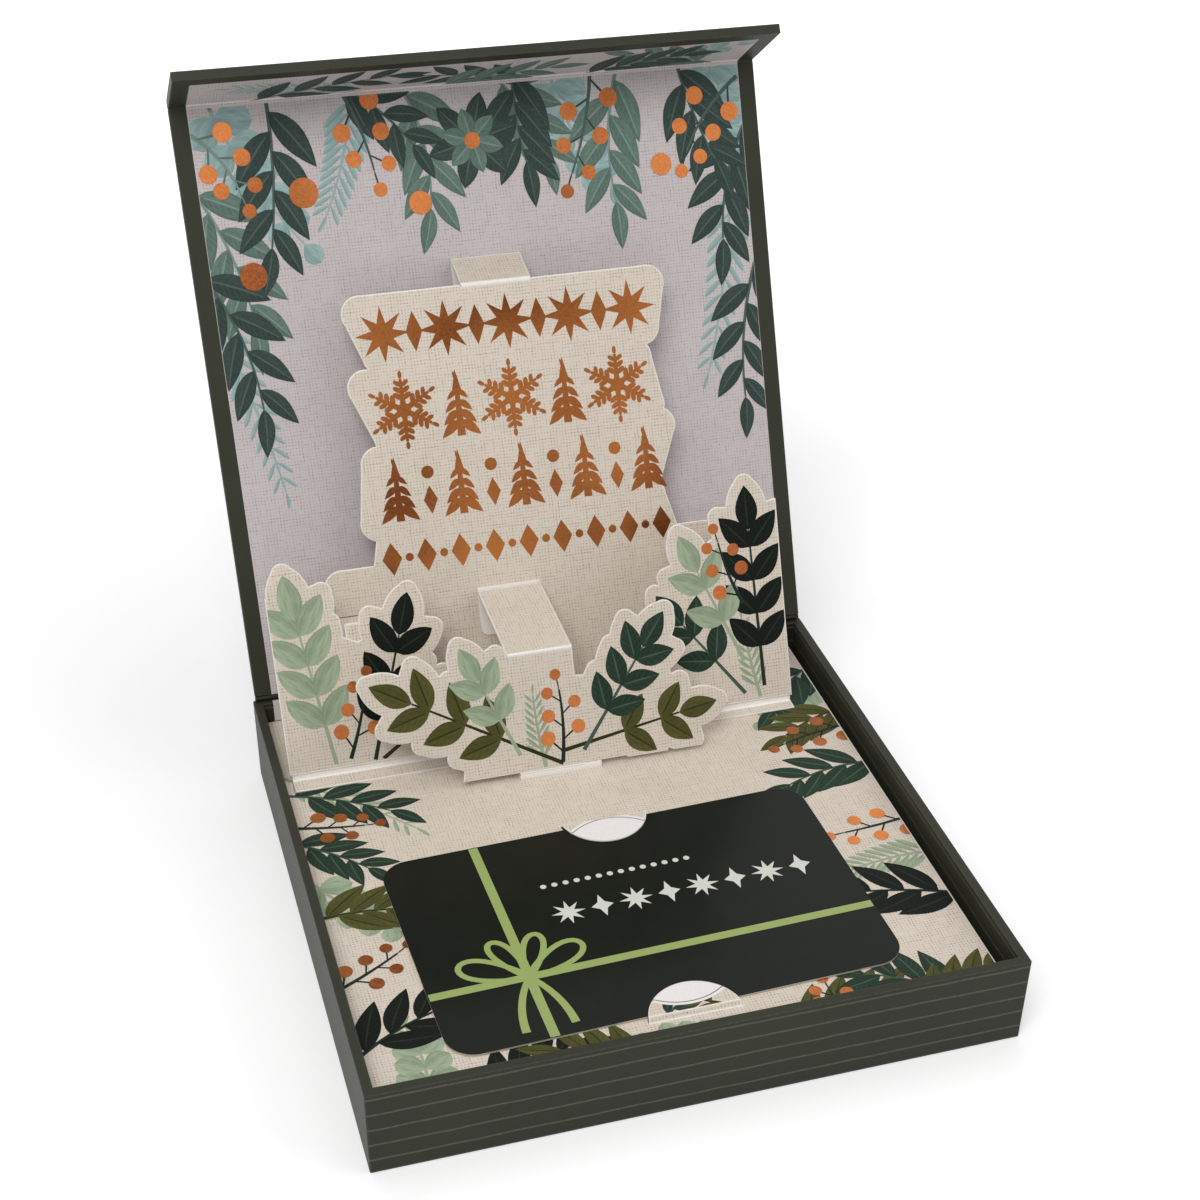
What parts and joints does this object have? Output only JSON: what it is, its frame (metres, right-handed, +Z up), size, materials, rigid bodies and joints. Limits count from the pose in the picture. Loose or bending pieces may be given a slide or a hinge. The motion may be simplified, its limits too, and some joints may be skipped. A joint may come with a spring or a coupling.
{
  "type": "gift card holder",
  "caption": "Shallow rigid box with a hinged lid, a magnetic closing flap, a raised platform with half-moon tabs for one card, and pop-up panels that stand as it opens.",
  "frame": {"origin": "centre of the tray's underside, on the table", "axes": "+Z up, +Y towards the lid's hinge, +X to the right seen from the front; drawn with the lid open at 114 degrees"},
  "size_m": [0.1206, 0.1656, 0.1375],
  "materials": {
    "board": "raw greyboard",
    "wrap_paper": "matt laminated paper, dark green with thin pinstripes",
    "white_paper": "uncoated white paper",
    "lid_print": "matt paper printed with a pale linen weave",
    "steel": "plain pressed steel",
    "magnet": "nickel plated",
    "platform_card": "satin coated card printed with a cream linen weave",
    "popup_card": "satin coated card, cream linen print with copper foil",
    "gift_card": "gloss laminated card, near black with a green ribbon print"
  },
  "bodies": {
    "tray": {"base_board": "board", "front_wall_board": "board", "back_wall_board": "board", "left_wall_board": "board", "right_wall_board": "board", "tray_wrap": "wrap_paper", "base_sheet": "wrap_paper", "floor_lining": "white_paper", "strike_discs": "steel", "hinge_paper": "wrap_paper", "hinge_lining": "lid_print", "platform": "platform_card", "front_panel_tab": "popup_card", "left_panel_tab": "popup_card", "right_panel_tab": "popup_card", "plaque_tab": "popup_card"},
    "lid": {"lid_board": "board", "lid_wrap": "wrap_paper", "lid_liner": "lid_print", "flap_crease": "wrap_paper", "top_strap_tab": "popup_card"},
    "flap": {"flap_board": "board", "flap_wrap": "wrap_paper", "flap_liner": "lid_print", "flap_magnets": "magnet"},
    "card": {"gift_card": "gift_card"},
    "plaque_panel": {"plaque": "popup_card", "front_strap_tab": "popup_card"},
    "top_strap_link": {"top_strap": "popup_card"},
    "front_spray": {"front_panel": "popup_card"},
    "front_strap_link": {"front_strap": "popup_card"},
    "left_spray": {"left_panel": "popup_card", "left_strap_tab": "popup_card"},
    "left_strap_link": {"left_strap": "popup_card"},
    "right_spray": {"right_panel": "popup_card", "right_strap_tab": "popup_card"},
    "right_strap_link": {"right_strap": "popup_card"}
  },
  "joints": [
    {"name": "lid_hinge", "type": "hinge", "parent": "tray", "child": "lid", "pos_m": [0, 0.05805, 0.019], "axis": [1, 0, 0], "range_deg": [-12, 114]},
    {"name": "flap_fold", "type": "hinge", "parent": "lid", "child": "flap", "pos_m": [0, 0.1062, 0.1264], "axis": [1, 0, 0], "range_deg": [-80, 10]},
    {"name": "card_slide", "type": "slide", "parent": "tray", "child": "card", "axis": [0.9995, 0.0323, 0], "range_m": [-0.0125, 0.0155]},
    {"name": "plaque_fold", "type": "hinge", "parent": "tray", "child": "plaque_panel", "pos_m": [0, 0.04953, 0.0167], "axis": [1, 0, 0], "range_deg": [-12, 114]},
    {"name": "front_panel_fold", "type": "hinge", "parent": "tray", "child": "front_spray", "pos_m": [0, 0.02462, 0.0156], "axis": [1, 0, 0], "range_deg": [-12, 114]},
    {"name": "left_panel_fold", "type": "hinge", "parent": "tray", "child": "left_spray", "pos_m": [0, 0.03666, 0.0163], "axis": [1, 0, 0], "range_deg": [-12, 114]},
    {"name": "right_panel_fold", "type": "hinge", "parent": "tray", "child": "right_spray", "pos_m": [0, 0.03666, 0.0163], "axis": [1, 0, 0], "range_deg": [-12, 114]},
    {"name": "top_strap_fold", "type": "hinge", "parent": "plaque_panel", "child": "top_strap_link", "pos_m": [0, 0.08281, 0.09329], "axis": [1, 0, 0], "range_deg": [-114, 12]},
    {"name": "front_strap_fold", "type": "hinge", "parent": "front_spray", "child": "front_strap_link", "pos_m": [0, 0.03329, 0.03692], "axis": [1, 0, 0], "range_deg": [-114, 12]},
    {"name": "left_strap_fold", "type": "hinge", "parent": "plaque_panel", "child": "left_strap_link", "pos_m": [0, 0.05739, 0.03619], "axis": [1, 0, 0], "range_deg": [-114, 12]},
    {"name": "right_strap_fold", "type": "hinge", "parent": "plaque_panel", "child": "right_strap_link", "pos_m": [0, 0.05739, 0.03619], "axis": [1, 0, 0], "range_deg": [-114, 12]}
  ],
  "couplings": [
    {"joint": "plaque_fold", "follows": "lid_hinge", "ratio": 1},
    {"joint": "front_panel_fold", "follows": "lid_hinge", "ratio": 1},
    {"joint": "left_panel_fold", "follows": "lid_hinge", "ratio": 1},
    {"joint": "right_panel_fold", "follows": "lid_hinge", "ratio": 1},
    {"joint": "top_strap_fold", "follows": "lid_hinge", "ratio": -1},
    {"joint": "front_strap_fold", "follows": "lid_hinge", "ratio": -1},
    {"joint": "left_strap_fold", "follows": "lid_hinge", "ratio": -1},
    {"joint": "right_strap_fold", "follows": "lid_hinge", "ratio": -1}
  ]
}
